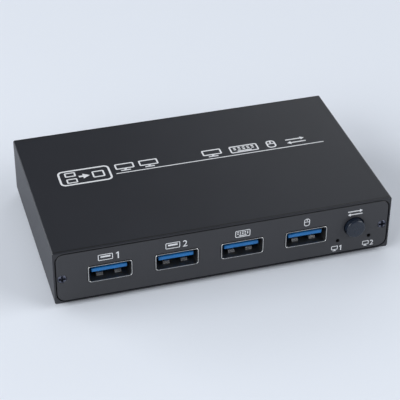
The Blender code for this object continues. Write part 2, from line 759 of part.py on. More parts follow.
def build_chips():
    """Chips by the board's middle, and the supply's parts in line with the power socket."""
    seat = BOARD_TOP + FIT_GAP
    power_x = next(x for name, kind, x in rear_sockets() if name == "power")
    for chip in CHIPS:
        x = chip.x + (power_x if chip.by_power else 0.0)
        bm = bmesh.new()
        body = moved(block(chip.width, chip.depth), x, CASE_CENTRE_Y + chip.y)
        add_along_z(bm, body, seat, seat + chip.height)
        make(chip.name, bm, chip.finish)
    for name, y in CAPACITOR_PLACES:
        bm = bmesh.new()
        profile = ((seat, CAPACITOR_RADIUS), (seat + CAPACITOR_HEIGHT, CAPACITOR_RADIUS))
        add_turned_z(bm, profile, power_x + CAPACITOR_OFFSET, CASE_CENTRE_Y + y, SMALL_ROUND_STEPS)
        make(name, bm, "capacitor_can", smooth=True)


def main():
    clear_scene()
    build_sleeve()
    build_panels()
    build_screws()
    build_feet()
    build_board()
    build_sockets()
    build_button()
    build_switch()
    build_lamps()
    build_chips()


main()
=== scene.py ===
"""The looks of a two-computer keyboard, video and mouse switch box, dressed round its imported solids.

Metres, in the solids' own frame: the front panel faces -Y, and the box stands on Z = 0.
"""
import json
import math
from dataclasses import dataclass

import bmesh
import bpy
from mathutils import Matrix, Vector


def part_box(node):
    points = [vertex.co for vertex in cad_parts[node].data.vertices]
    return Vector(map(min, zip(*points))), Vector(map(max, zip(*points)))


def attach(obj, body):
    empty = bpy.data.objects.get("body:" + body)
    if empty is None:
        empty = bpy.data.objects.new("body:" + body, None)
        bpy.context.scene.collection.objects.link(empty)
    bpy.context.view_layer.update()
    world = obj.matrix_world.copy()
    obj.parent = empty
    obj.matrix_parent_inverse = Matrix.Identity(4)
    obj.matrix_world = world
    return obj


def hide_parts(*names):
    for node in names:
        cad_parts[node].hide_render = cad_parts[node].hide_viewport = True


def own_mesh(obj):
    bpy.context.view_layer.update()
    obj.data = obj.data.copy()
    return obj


BODY = "case"
BUTTON_BODY = "button"

# Camera, from the case's corners in the photograph
CAMERA_AZIMUTH = -16.76
CAMERA_ELEVATION = 35.05
CAMERA_ROLL = 0.52
CAMERA_DISTANCE = 0.4278
CAMERA_LENS = 124.0
CAMERA_SENSOR = 36.0
AIM_RIGHT = 0.00095
AIM_DOWN = 0.00238

# Studio: cool white softboxes, each with its place, its width and height, and its watts
LIGHT_TINT = (0.945, 0.97, 1.0)
LIGHT_AIM = (0.0, 0.0, 0.01)
SOFTBOXES = {
    "left_front": ((-0.84, -0.42, 0.48), (0.9, 0.6), 8.0),
    "right_front": ((0.82, -0.42, 0.48), (0.9, 0.6), 7.2),
    "back_left": ((-0.90, 0.52, 0.25), (0.9, 0.5), 8.6),
    "back_right": ((0.55, 0.75, 0.30), (0.6, 0.4), 1.6),
    "overhead": ((0.0, 0.45, 1.2), (0.9, 0.9), 2.5),
}
WORLD_TINT = (0.82, 0.88, 1.0)
WORLD_STRENGTH = 0.15
FLOOR_REACH = 2.0

# Noise in the finishes: its detail, and the values between which a colour goes from dark to light
DRIFT_DETAIL = 3.0
GRAIN_DETAIL = 2.0
RAMP_LOW = 0.3
RAMP_HIGH = 0.7

# Coats of the sleeve and the panels, with a fine painted shade line behind the lid's front and rear edges
COAT_PATCH = 35.0
COAT_GRAIN = 6000.0
COAT_BUMP = 0.000004
FACE_REACH = 0.00004
EDGE_SHADE_NEAR = 0.00040
EDGE_SHADE_FAR = 0.00090

# Solder mask on the board
MASK_SHADES = ((0.010, 0.085, 0.036), (0.012, 0.100, 0.044))
MASK_ROUGH = (0.30, 0.45)
MASK_GRAIN = 900.0
TRACK_SHADE = (0.030, 0.170, 0.075)
TRACK_SCALE = 260.0
TRACK_WIDTH = 0.06
TRACK_RELIEF = 0.00002

# Steps in round shapes, and how many degrees an edge turns before it shows as a crisp one
CORNER_STEPS = 6
EDGE_STEPS = 5
ROUND_STEPS = 96
SMALL_ROUND_STEPS = 48
CRISP_ANGLE = 35.0
SCREW_CRISP_ANGLE = 30.0

# Button: the plunger in its socket, the flange, and a crown that drops by shares towards the edge
FIT_GAP = 0.0003
PLUNGER_SIZE = 0.0026
BUTTON_FLANGE = 0.0006
BUTTON_FLANGE_THICKNESS = 0.0008
BUTTON_EDGE = 0.00045
BUTTON_CROWN = 0.00006
BUTTON_TOP_SHARE = 0.02
BUTTON_SHOULDER_SHARE = 0.55
BUTTON_SHOULDER_DROP = 0.3

# Panel screws: the cross recess is a share wider in front of the face, and narrower at its floor
SCREW_EDGE = 0.00010
SCREW_SHANK_RADIUS = 0.0008
SCREW_CROSS_LENGTH = 0.0022
SCREW_CROSS_WIDTH = 0.0007
SCREW_CROSS_DEPTH = 0.0007
SCREW_CROSS_TAPER = 0.5
# How far in the recess's painted shade reaches
SCREW_SHADE_REACH = 1.01 * SCREW_CROSS_DEPTH

# Feet, and the black light tubes round the lamps, which make the pinholes read dark as painted shade
FOOT_EDGE = 0.0004
TUBE_RADIUS = 0.00063
TUBE_WALL = 0.00008
TUBE_SETBACK = 0.0001

# Return spring
SPRING_WIRE = 0.00014
SPRING_TURNS = 4
SPRING_STEPS = 32
SPRING_WIRE_STEPS = 12

# Socket shells and inserts: a round edge takes no more than its share of a thin wall or tongue
LIP_RADIUS = 0.00015
LIP_SHARE_OF_WALL = 0.45
TONGUE_EDGE = 0.00015
TONGUE_EDGE_SHARE = 1 / 6
BLOCK_GAP = 0.00005
LEG_WIDTH = 0.0016
LEG_SETBACK = 0.0008
LEG_SHARE_OF_WALL = 0.8
CONTACT_THICKNESS = 0.00006

# Leaf springs on the floor of the type-A shells
LEAF_SPREAD = 0.0027
LEAF_WIDTH = 0.0020
LEAF_START = 0.0022
LEAF_LENGTH = 0.0046
LEAF_RISE = 0.0009
LEAF_CREST = 0.2
LEAF_THICKNESS = 0.00016
LEAF_STEPS = 20

# Print: ink, strokes, digits, and the labels' heights above the case's underside
INK_THICKNESS = 0.00003
FRONT_STROKE = 0.00022
REAR_STROKE = 0.00028
LID_STROKE = 0.00048
FRONT_DIGIT = 0.0023
LAMP_DIGIT = 0.0019
REAR_DIGIT = 0.0018
FRONT_LABEL_RISE = 0.0142
LAMP_LABEL_RISE = 0.0026
REAR_LABEL_RISE = 0.0027

# Marks on the front, (width, height), and how far a pictogram and its digit stand from their middle
FRONT_SOCKET = (1.9 * FRONT_DIGIT, 0.92 * FRONT_DIGIT)
FRONT_SOCKET_SHIFT = -0.55 * FRONT_DIGIT
FRONT_DIGIT_SHIFT = 1.05 * FRONT_DIGIT
LAMP_SCREEN = (1.1 * LAMP_DIGIT, LAMP_DIGIT)
LAMP_SCREEN_SHIFT = -0.45 * LAMP_DIGIT
LAMP_DIGIT_SHIFT = 0.6 * LAMP_DIGIT
FRONT_KEYBOARD = (0.0046, 0.0024)
FRONT_MOUSE = (0.0018, 0.0026)
FRONT_ARROW = (0.0046, 0.0011)

# Marks on the rear: a screen, the room round a digit, and the supply mark's line over three dashes
REAR_SCREEN = (0.0036, 0.0024)
REAR_DIGIT_ROOM = 1.5 * REAR_DIGIT
SUPPLY_WIDTH = 0.0030
SUPPLY_DASH = 0.0008
SUPPLY_PITCH = 0.0011
SUPPLY_RISE = 0.0004

# Marks on the lid, from its middle; those in the frame, from the frame's middle
LID_FRAME_U = -0.0340
LID_FRAME_V = 0.0052
LID_FRAME = (0.0162, 0.0080)
LID_FRAME_CORNER = 0.0017
LID_FRAME_STROKE = 0.00062
LID_SOURCE = (0.0034, 0.0023)
LID_SOURCE_SHIFT = -0.0043
LID_SOURCE_RISE = 0.0017
LID_SOURCE_CORNER = 0.0004
LID_SOURCE_STROKE = 0.00045
LID_TARGET = (0.0038, 0.0034)
LID_TARGET_SHIFT = 0.0042
LID_TARGET_CORNER = 0.0005
LID_TARGET_STROKE = 0.0005
LID_FLOW = (0.0034, 0.0026)
LID_FLOW_SHIFT = -0.0002
LID_RULE = (0.0673, 0.00036)
LID_RULE_U = 0.0091
LID_RULE_V = 0.0037
LID_ICON_RISE = 0.0030
LID_ICON_V = LID_RULE_V + LID_ICON_RISE
LID_SMALL_SCREEN = (0.0060, 0.0040)
LID_SMALL_SCREENS_U = (-0.0212, -0.0136)
LID_SCREEN = (0.0062, 0.0040)
LID_SCREEN_U = 0.0068
LID_KEYBOARD = (0.0092, 0.0038)
LID_KEYBOARD_U = 0.0172
LID_MOUSE = (0.0030, 0.0040)
LID_MOUSE_U = 0.0262
LID_ARROW = (0.0062, 0.0016)
LID_ARROWS_U = 0.0344
LID_ARROWS_RISE = 0.0009

# Inside a pictogram, in shares of its width, height or stroke
LEAST_CORNER = 0.25
ICON_CORNER = 0.16
SOCKET_TONGUE = (0.66, 0.26)
SOCKET_TONGUE_RISE = 0.10
KEY_COLUMNS = 5
KEY_ROWS = (0.22, -0.02)
KEY = (0.55, 0.14)
KEY_MARGIN = 2
SPACE_BAR = (0.5, 0.12)
SPACE_BAR_RISE = -0.27
MOUSE_CORNER = 0.40
MOUSE_LINE = 0.8
MOUSE_LINE_RISE = 0.05
WHEEL = (1.1, 0.26)
WHEEL_RISE = 0.27
ARROW_HEAD = 0.8
ARROW_HALF_STEM = 0.15
SCREEN_BODY = 0.74
SCREEN_CORNER = 0.12
STAND = (1.6, 0.18)
STAND_RISE = 0.18
STAND_FOOT = 0.5

# Digits: a 1's corners in shares of its height, a 2's height as a share of its font size, and its weld
ONE_CORNERS = (
    (-0.05, -0.5), (0.11, -0.5), (0.11, 0.5), (-0.02, 0.5),
    (-0.25, 0.34), (-0.25, 0.19), (-0.05, 0.31),
)
TWO_HEIGHT = 0.73
WELD_DISTANCE = 1e-7


@dataclass
class Socket:
    """Sizes of one kind of socket, as in the solids, and the contacts on its tongue."""

    opening_width: float
    opening_height: float
    wall: float
    corner: float
    tongue_thickness: float
    tongue_drop: float
    back: float
    contact_count: int
    contact_pitch: float
    contact_width: float
    contact_length: float
    both_sides: bool
    low_cut: float = 0.0
    high_cut: float = 0.0
    plain_outside: bool = False
    tip_step: float = 0.0
    tip_length: float = 0.0


TYPE_A = Socket(
    opening_width=0.0125, opening_height=0.00512, wall=0.0003, corner=0.0006,
    tongue_thickness=0.00184, tongue_drop=0.0009, back=0.0030,
    contact_count=4, contact_pitch=0.0024, contact_width=0.0010, contact_length=0.0070, both_sides=False,
    tip_step=0.00064, tip_length=0.0030,
)
TYPE_B = Socket(
    opening_width=0.00845, opening_height=0.00778, wall=0.0014, corner=0.0004,
    tongue_thickness=0.0032, tongue_drop=0.0023, back=0.0040,
    contact_count=2, contact_pitch=0.0025, contact_width=0.0012, contact_length=0.0080, both_sides=True,
    high_cut=0.0016, plain_outside=True,
)
VIDEO = Socket(
    opening_width=0.0140, opening_height=0.00455, wall=0.00035, corner=0.0005,
    tongue_thickness=0.0013, tongue_drop=0.0016, back=0.0030,
    contact_count=9, contact_pitch=0.0010, contact_width=0.0005, contact_length=0.0055, both_sides=True,
    low_cut=0.0015,
)
POWER = Socket(
    opening_width=0.0069, opening_height=0.00185, wall=0.0003, corner=0.0003,
    tongue_thickness=0.0006, tongue_drop=0.0004, back=0.0014,
    contact_count=5, contact_pitch=0.00065, contact_width=0.00035, contact_length=0.0020, both_sides=False,
    low_cut=0.0006,
)
FRONT_SOCKETS = {f"type_a_{index}": TYPE_A for index in (1, 2, 3, 4)}
REAR_SOCKETS = {
    "type_b_1": TYPE_B, "type_b_2": TYPE_B,
    "video_in_1": VIDEO, "video_in_2": VIDEO, "video_out": VIDEO, "power": POWER,
}

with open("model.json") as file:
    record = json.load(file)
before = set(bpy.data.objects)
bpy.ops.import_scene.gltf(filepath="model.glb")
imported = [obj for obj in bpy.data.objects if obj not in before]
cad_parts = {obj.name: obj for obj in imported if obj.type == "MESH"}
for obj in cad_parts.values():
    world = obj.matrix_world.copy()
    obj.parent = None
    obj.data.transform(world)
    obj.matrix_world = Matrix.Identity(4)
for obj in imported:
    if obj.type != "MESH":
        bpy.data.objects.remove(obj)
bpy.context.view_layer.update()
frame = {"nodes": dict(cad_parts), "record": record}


def middle(node):
    low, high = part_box(node)
    return (low + high) / 2


# Materials

def blank_material(name):
    """A material with its Principled shader, and texture coordinates in the object's own metres."""
    made = bpy.data.materials.new(name)
    made.use_nodes = True
    nodes = made.node_tree.nodes
    shader = nodes["Principled BSDF"]
    coordinates = nodes.new("ShaderNodeTexCoord").outputs["Object"]
    return made, made.node_tree, shader, coordinates


def noise(tree, coordinates, scale, detail=DRIFT_DETAIL, stretch=None):
    """A noise value from 0 to 1; stretch gives the scale along each axis of a drawn or brushed grain."""
    if stretch:
        mapping = tree.nodes.new("ShaderNodeMapping")
        mapping.inputs["Scale"].default_value = stretch
        tree.links.new(coordinates, mapping.inputs["Vector"])
        coordinates = mapping.outputs["Vector"]
    texture = tree.nodes.new("ShaderNodeTexNoise")
    texture.inputs["Scale"].default_value = scale
    texture.inputs["Detail"].default_value = detail
    tree.links.new(coordinates, texture.inputs["Vector"])
    return texture.outputs["Fac"]


def colour_between(tree, value, dark, light):
    """A colour ramp between two shades."""
    ramp = tree.nodes.new("ShaderNodeValToRGB")
    ramp.color_ramp.elements[0].position = RAMP_LOW
    ramp.color_ramp.elements[0].color = (*dark, 1.0)
    ramp.color_ramp.elements[1].position = RAMP_HIGH
    ramp.color_ramp.elements[1].color = (*light, 1.0)
    tree.links.new(value, ramp.inputs["Fac"])
    return ramp.outputs["Color"]


def number_between(tree, value, low, high):
    spread = tree.nodes.new("ShaderNodeMapRange")
    spread.inputs["To Min"].default_value = low
    spread.inputs["To Max"].default_value = high
    tree.links.new(value, spread.inputs["Value"])
    return spread.outputs["Result"]


def raise_bumps(tree, shader, value, height):
    bump = tree.nodes.new("ShaderNodeBump")
    bump.inputs["Distance"].default_value = height
    tree.links.new(value, bump.inputs["Height"])
    tree.links.new(bump.outputs["Normal"], shader.inputs["Normal"])


def finish(
    name, dark, light, rough,
    metallic=0.0, patch=60.0, grain=5000.0, bump=0.00001, stretch=None, specular=0.5,
):
    """A surface with slow colour drift, fine grain in its roughness, and grain-deep bumps."""
    made, tree, shader, coordinates = blank_material(name)
    drift = noise(tree, coordinates, patch)
    fine = noise(tree, coordinates, grain, GRAIN_DETAIL, stretch)
    tree.links.new(colour_between(tree, drift, dark, light), shader.inputs["Base Color"])
    tree.links.new(number_between(tree, fine, *rough), shader.inputs["Roughness"])
    raise_bumps(tree, shader, fine, bump)
    shader.inputs["Metallic"].default_value = metallic
    shader.inputs["Specular IOR Level"].default_value = specular
    return made


def board_finish():
    """Green solder mask with the faint relief of copper tracks under it."""
    made, tree, shader, coordinates = blank_material("board_solder_mask")
    tracks = tree.nodes.new("ShaderNodeTexBrick")
    tracks.inputs["Scale"].default_value = TRACK_SCALE
    tracks.inputs["Mortar Size"].default_value = TRACK_WIDTH
    tracks.inputs["Color1"].default_value = (*MASK_SHADES[0], 1.0)
    tracks.inputs["Color2"].default_value = (*MASK_SHADES[1], 1.0)
    tracks.inputs["Mortar"].default_value = (*TRACK_SHADE, 1.0)
    tree.links.new(coordinates, tracks.inputs["Vector"])
    tree.links.new(tracks.outputs["Color"], shader.inputs["Base Color"])
    rough = number_between(tree, noise(tree, coordinates, MASK_GRAIN), *MASK_ROUGH)
    tree.links.new(rough, shader.inputs["Roughness"])
    raise_bumps(tree, shader, tracks.outputs["Fac"], TRACK_RELIEF)
    return made


def calculate(tree, operation, value, other):
    """One step of arithmetic on a node's value, with a plain number or another node's value."""
    step = tree.nodes.new("ShaderNodeMath")
    step.operation = operation
    tree.links.new(value, step.inputs[0])
    if isinstance(other, float):
        step.inputs[1].default_value = other
    else:
        tree.links.new(other, step.inputs[1])
    return step.outputs["Value"]


def from_middle(tree, axes):
    """The distance from the sleeve's middle, front or back."""
    along = calculate(tree, "SUBTRACT", axes["Y"], middle("case_sleeve").y)
    step = tree.nodes.new("ShaderNodeMath")
    step.operation = "ABSOLUTE"
    tree.links.new(along, step.inputs[0])
    return step.outputs["Value"]


def on_rim_painted_light(tree, axes):
    """1 on the sleeve's cut ends, 0 elsewhere; there the coat takes the panel's lighter shades, painted
    light of a lit face.
    """
    low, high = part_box("case_sleeve")
    return calculate(tree, "GREATER_THAN", from_middle(tree, axes), (high.y - low.y) / 2 - FACE_REACH)


def on_painted_edge_shade(tree, axes):
    """1 in a fine line of painted shade along the lid's front and rear edges, 0 elsewhere."""
    low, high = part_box("case_sleeve")
    half = (high.y - low.y) / 2
    place = from_middle(tree, axes)
    outer = calculate(tree, "LESS_THAN", place, half - EDGE_SHADE_NEAR)
    inner = calculate(tree, "GREATER_THAN", place, half - EDGE_SHADE_FAR)
    on_top = calculate(tree, "GREATER_THAN", axes["Z"], high.z - FACE_REACH)
    return calculate(tree, "MULTIPLY", calculate(tree, "MULTIPLY", outer, inner), on_top)


def on_painted_gap_shade(tree, axes):
    """1 on the edges of the panels and in their openings, 0 on their faces; there the coat is painted near
    black as the shade in the gaps.
    """
    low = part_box("front_panel")[0]
    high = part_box("rear_panel")[1]
    return calculate(tree, "LESS_THAN", from_middle(tree, axes), (high.y - low.y) / 2 - FACE_REACH)


def coating(name, shades, rough, specular, covers):
    """A thin coat in two near shades; where a cover's test of the place holds, in the cover's shades."""
    made, tree, shader, coordinates = blank_material(name)
    drift = noise(tree, coordinates, COAT_PATCH)
    fine = noise(tree, coordinates, COAT_GRAIN, GRAIN_DETAIL)
    axes = tree.nodes.new("ShaderNodeSeparateXYZ")
    tree.links.new(coordinates, axes.inputs["Vector"])
    colour = colour_between(tree, drift, *shades)
    for test, cover_shades in covers:
        blend = tree.nodes.new("ShaderNodeMixRGB")
        tree.links.new(test(tree, axes.outputs), blend.inputs["Fac"])
        tree.links.new(colour, blend.inputs["Color1"])
        tree.links.new(colour_between(tree, drift, *cover_shades), blend.inputs["Color2"])
        colour = blend.outputs["Color"]
    tree.links.new(colour, shader.inputs["Base Color"])
    tree.links.new(number_between(tree, fine, *rough), shader.inputs["Roughness"])
    raise_bumps(tree, shader, fine, COAT_BUMP)
    shader.inputs["Specular IOR Level"].default_value = specular
    return made


CASE_SHADES = ((0.0118, 0.0128, 0.0170), (0.0142, 0.0154, 0.0203))
PANEL_SHADES = ((0.0260, 0.0263, 0.0300), (0.0295, 0.0298, 0.0340))
# Near-black painted shade: the line behind the lid's edges, and the panels' edges and openings
PAINTED_SHADE_TONES = ((0.0020, 0.0020, 0.0025), (0.0030, 0.0030, 0.0036))
FINISHES = {
    "case_charcoal": coating(
        "case_coating", CASE_SHADES, (0.42, 0.50), 0.30,
        # The sleeve's cut ends take the panel's lighter shades: painted light of a lit face
        ((on_painted_edge_shade, PAINTED_SHADE_TONES), (on_rim_painted_light, PANEL_SHADES)),
    ),
    "panel_charcoal": coating(
        # The panels' edges and openings are painted near black: painted shade in the gaps
        "panel_coating", PANEL_SHADES, (0.40, 0.50), 0.50, ((on_painted_gap_shade, PAINTED_SHADE_TONES),),
    ),
    "screw_black": finish(
        "screw_black_zinc", (0.098, 0.104, 0.138), (0.132, 0.139, 0.180), (0.32, 0.46), metallic=0.9,
        patch=900.0, grain=7000.0, bump=0.000006,
    ),
    "shell_nickel": finish(
        "shell_nickel", (0.46, 0.455, 0.445), (0.56, 0.555, 0.545), (0.18, 0.32), metallic=1.0,
        patch=250.0, grain=2600.0, bump=0.000004, stretch=(1.0, 0.08, 1.0),
    ),
    "insert_blue": finish(
        "insert_blue", (0.006, 0.135, 0.390), (0.009, 0.165, 0.460), (0.32, 0.44), patch=300.0,
        grain=5200.0, bump=0.000008,
    ),
    "insert_black": finish(
        "insert_black", (0.006, 0.006, 0.007), (0.012, 0.012, 0.013), (0.42, 0.58), patch=300.0,
        grain=5200.0, bump=0.00001,
    ),
    "button_slate": finish(
        "button_slate", (0.008, 0.013, 0.024), (0.011, 0.017, 0.030), (0.18, 0.27), patch=220.0,
        grain=6000.0, bump=0.000005,
    ),
    "foot_rubber": finish(
        "foot_rubber", (0.010, 0.010, 0.010), (0.022, 0.022, 0.021), (0.72, 0.92), patch=500.0,
        grain=3200.0, bump=0.00004, specular=0.25,
    ),
    "board_green": board_finish(),
    "chip_black": finish(
        "chip_epoxy", (0.012, 0.012, 0.013), (0.022, 0.022, 0.024), (0.48, 0.66), patch=400.0,
        grain=9000.0, bump=0.00001,
    ),
    "crystal_can": finish(
        "crystal_plating", (0.52, 0.52, 0.50), (0.66, 0.66, 0.63), (0.20, 0.34), metallic=1.0,
        patch=500.0, grain=4000.0, bump=0.000005, stretch=(0.1, 1.0, 1.0),
    ),
    "inductor_grey": finish(
        "inductor_ferrite", (0.080, 0.080, 0.082), (0.14, 0.14, 0.14), (0.55, 0.75), patch=700.0,
        grain=6000.0, bump=0.00003,
    ),
    "capacitor_can": finish(
        "capacitor_aluminium", (0.50, 0.51, 0.53), (0.64, 0.65, 0.67), (0.22, 0.36), metallic=1.0,
        patch=400.0, grain=4200.0, bump=0.000005, stretch=(1.0, 1.0, 0.08),
    ),
    "switch_black": finish(
        "switch_moulding", (0.014, 0.014, 0.014), (0.026, 0.026, 0.026), (0.42, 0.58), patch=400.0,
        grain=5200.0, bump=0.00001,
    ),
    "switch_steel": finish(
        "switch_steel", (0.46, 0.46, 0.45), (0.60, 0.60, 0.58), (0.24, 0.40), metallic=1.0,
        patch=400.0, grain=4200.0, bump=0.000005, stretch=(0.08, 1.0, 1.0),
    ),
    "plunger_white": finish(
        "plunger_moulding", (0.62, 0.62, 0.60), (0.72, 0.72, 0.70), (0.40, 0.54), patch=400.0,
        grain=5200.0, bump=0.00001,
    ),
    "spring_steel": finish(
        "spring_wire", (0.42, 0.42, 0.42), (0.56, 0.56, 0.56), (0.20, 0.34), metallic=1.0,
        patch=900.0, grain=8000.0, bump=0.000004,
    ),
    "lamp_clear": finish(
        "lamp_moulding", (0.62, 0.66, 0.68), (0.74, 0.78, 0.80), (0.14, 0.24), patch=900.0,
        grain=8000.0, bump=0.000004,
    ),
}
# A darker copy of the nickel for the shells' inner walls: painted shade
SHADED_SHELL_INSIDE = finish(
    "shell_inside_painted_shade", (0.16, 0.16, 0.16), (0.24, 0.24, 0.24), (0.34, 0.50), metallic=1.0, patch=400.0,
    grain=2600.0, bump=0.000006, stretch=(1.0, 0.08, 1.0),
)
# A darker copy of the nickel for the leaf springs: painted shade
SHADED_LEAF_NICKEL = finish(
    "leaf_spring", (0.30, 0.295, 0.285), (0.42, 0.415, 0.40), (0.18, 0.30), metallic=1.0, patch=600.0,
    grain=3600.0, bump=0.000005, stretch=(1.0, 0.1, 1.0),
)
# Painted shade for the screws' cross recesses
PAINTED_RECESS_SHADE = finish(
    "screw_recess_painted_shade", (0.016, 0.018, 0.030), (0.028, 0.031, 0.048), (0.40, 0.60), metallic=0.6, patch=900.0,
    grain=7000.0, bump=0.000008,
)
INK = finish(
    "white_ink", (0.66, 0.67, 0.68), (0.78, 0.78, 0.79), (0.45, 0.60), patch=900.0,
    grain=7000.0, bump=0.000006,
)
GOLD = finish(
    "contact_gold", (0.68, 0.48, 0.20), (0.82, 0.60, 0.28), (0.18, 0.30), metallic=1.0, patch=700.0,
    grain=6000.0, bump=0.000003,
)
FLOOR_PAPER = finish(
    "floor_paper", (0.78, 0.81, 0.86), (0.80, 0.83, 0.88), (0.75, 0.9), patch=3.0, grain=900.0,
)


def dress_solids():
    """Each carried-over solid gets the finish of its slot."""
    for part in frame["record"]["subparts"]:
        solid = frame["nodes"][part["node"]]
        solid.data.materials.clear()
        solid.data.materials.append(FINISHES[part["material_slot"]])


# Mesh building

def outline(width, height, radius, low_cut=0.0, high_cut=0.0):
    """A rectangle about the origin; each corner is round or, with a cut, a straight chamfer."""
    points = []
    for corner, (side, level) in enumerate(((-1, -1), (1, -1), (1, 1), (-1, 1))):
        cut = low_cut if level < 0 else high_cut
        size = cut or radius
        centre = Vector((side * (width / 2 - size), level * (height / 2 - size)))
        first = math.pi + corner * math.pi / 2
        start = Vector((math.cos(first), math.sin(first)))
        end = Vector((-start.y, start.x))
        for step in range(CORNER_STEPS + 1):
            share = step / CORNER_STEPS
            turn = first + share * math.pi / 2
            reach = start.lerp(end, share) if cut else Vector((math.cos(turn), math.sin(turn)))
            points.append(tuple(centre + size * reach))
    return points


def quarter():
    """Turns from 0 to a right angle, for a rounded edge."""
    return [step / EDGE_STEPS * math.pi / 2 for step in range(EDGE_STEPS + 1)]


def add_loft(bm, rings, wrap=False):
    """A body through rings of equally many points, closed by its two end faces or into a ring."""
    loops = [[bm.verts.new(point) for point in ring] for ring in rings]
    pairs = list(zip(loops, loops[1:]))
    if wrap:
        pairs.append((loops[-1], loops[0]))
    for low, high in pairs:
        for index in range(len(low)):
            after = (index + 1) % len(low)
            bm.faces.new((low[index], low[after], high[after], high[index]))
    if not wrap:
        bm.faces.new(list(reversed(loops[0])))
        bm.faces.new(loops[-1])


def add_turned(bm, profile, centre, axis, steps=ROUND_STEPS, wrap=False):
    """A round body about a line along Y or Z; the profile gives (place along the line, radius) pairs."""
    rings = []
    for along, radius in profile:
        ring = []
        for step in range(steps):
            turn = 2 * math.pi * step / steps
            across = radius * math.cos(turn)
            up = radius * math.sin(turn)
            if axis == "Y":
                ring.append((centre.x + across, along, centre.z + up))
            else:
                ring.append((centre.x + across, centre.y + up, along))
        rings.append(ring)
    add_loft(bm, rings, wrap)


def upright_rectangle(centre, along, half_width, half_height):
    """The corners of a rectangle that faces along Y, about a centre."""
    corners = ((-1, -1), (1, -1), (1, 1), (-1, 1))
    return [(centre.x + a * half_width, along, centre.z + b * half_height) for a, b in corners]


def make_mesh(name, bm):
    bmesh.ops.recalc_face_normals(bm, faces=bm.faces)
    mesh = bpy.data.meshes.new(name)
    bm.to_mesh(mesh)
    bm.free()
    return mesh


def smooth(mesh, crisp=CRISP_ANGLE):
    """Smooth shading, with edges that turn more than so many degrees kept crisp."""
    mesh.shade_smooth()
    mesh.set_sharp_from_angle(angle=math.radians(crisp))


def make_piece(name, bm, *materials, body=BODY, slot=None):
    """A piece of the object that rides on a body."""
    mesh = make_mesh(name, bm)
    smooth(mesh)
    for material in materials:
        mesh.materials.append(material)
    piece = bpy.data.objects.new(name, mesh)
    bpy.context.scene.collection.objects.link(piece)
    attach(piece, body)
    return piece


def combine(piece, bm, operation):
    """Joins a mesh to the piece or cuts it out, and keeps the result."""
    tool = bpy.data.objects.new("tool", make_mesh("tool", bm))
    bpy.context.scene.collection.objects.link(tool)
    step = piece.modifiers.new("combine", "BOOLEAN")
    step.operation = operation
    step.object = tool
    bpy.context.view_layer.update()
    ready = piece.evaluated_get(bpy.context.evaluated_depsgraph_get())
    mesh = bpy.data.meshes.new_from_object(ready)
    piece.modifiers.clear()
    piece.data = mesh
    bpy.data.objects.remove(tool, do_unlink=True)


# Sockets

def socket_outline(kind, spread):
    """The opening's outline moved outwards by spread."""
    slant = spread * (2 - math.sqrt(2))
    plain = kind.plain_outside and spread > kind.wall / 2
    low = kind.low_cut + slant if kind.low_cut and not plain else 0.0
    high = kind.high_cut + slant if kind.high_cut and not plain else 0.0
    width = kind.opening_width + 2 * spread
    height = kind.opening_height + 2 * spread
    return outline(width, height, kind.corner + spread, low, high)


def lip_profile(kind, depth):
    """(spread, distance from the mouth) pairs, from the outer rear edge over the lip to the inner one."""
    radius = min(LIP_RADIUS, LIP_SHARE_OF_WALL * kind.wall)
    outer = [
        (kind.wall - radius + radius * math.cos(turn), radius - radius * math.sin(turn))
        for turn in quarter()
    ]
    inner = [(radius - radius * math.sin(turn), radius - radius * math.cos(turn)) for turn in quarter()]
    return [(kind.wall, depth)] + outer + inner + [(0.0, depth)]


def add_strip(bm, place, centre, width, span, levels):
    """A flat-sided bar in a socket: its middle and width across, its two distances, its two levels."""
    left = centre - width / 2
    right = centre + width / 2
    near, far = span
    corners = ((left, near), (right, near), (right, far), (left, far))
    add_loft(bm, [[place(across, distance, up) for across, distance in corners] for up in levels])


def add_legs(shell, name, kind, place, depth):
    """Two solder legs that go down through the board from inside the shell's side walls."""
    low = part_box(name + "_shell")[0].z - place(0.0, 0.0, 0.0)[2]
    span = (depth - LEG_SETBACK - LEG_WIDTH, depth - LEG_SETBACK)
    bm = bmesh.new()
    for side in (-1, 1):
        centre = side * (kind.opening_width + kind.wall) / 2
        add_strip(bm, place, centre, kind.wall * LEG_SHARE_OF_WALL, span, (low, 0.0))
    combine(shell, bm, "UNION")
    smooth(shell.data)


def build_shell(name, kind, place, depth):
    """The metal shell with its rolled lip, bright outside and painted darker within as painted shade, in
    place of the plain tube.
    """
    rings = [
        [place(across, distance, up) for across, up in socket_outline(kind, spread)]
        for spread, distance in lip_profile(kind, depth)
    ]
    bm = bmesh.new()
    add_loft(bm, rings, wrap=True)
    bm.faces.ensure_lookup_table()
    points = len(rings[0])
    first = (len(rings) - 2) * points
    for face in bm.faces[first:first + points]:
        face.material_index = 1
    nickel = FINISHES["shell_nickel"]
    shell = make_piece(name + "_lipped_shell", bm, nickel, SHADED_SHELL_INSIDE, slot="shell_nickel")
    add_legs(shell, name, kind, place, depth)
    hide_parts(name + "_shell")


def tongue_rings(kind, place, setback, width, end):
    """Rings along the tongue: a softened tip, the low front stretch if it has one, the full height."""
    edge = min(TONGUE_EDGE, TONGUE_EDGE_SHARE * kind.tongue_thickness)
    low_height = kind.tongue_thickness - kind.tip_step
    low_up = kind.opening_height / 2 - kind.tongue_drop - kind.tip_step - low_height / 2
    full_up = low_up + kind.tip_step / 2
    low = outline(width, low_height, edge)
    full = outline(width, kind.tongue_thickness, edge)
    sections = [(setback, low_up, outline(width - 2 * edge, low_height - 2 * edge, edge / 2))]
    sections.append((setback + edge, low_up, low))
    if kind.tip_step:
        step = setback + kind.tip_length
        sections += [(step, low_up, low), (step + kind.tip_step, full_up, full)]
    sections.append((end, full_up, full))
    return [
        [place(across, distance, shift + up) for across, up in points]
        for distance, shift, points in sections
    ]


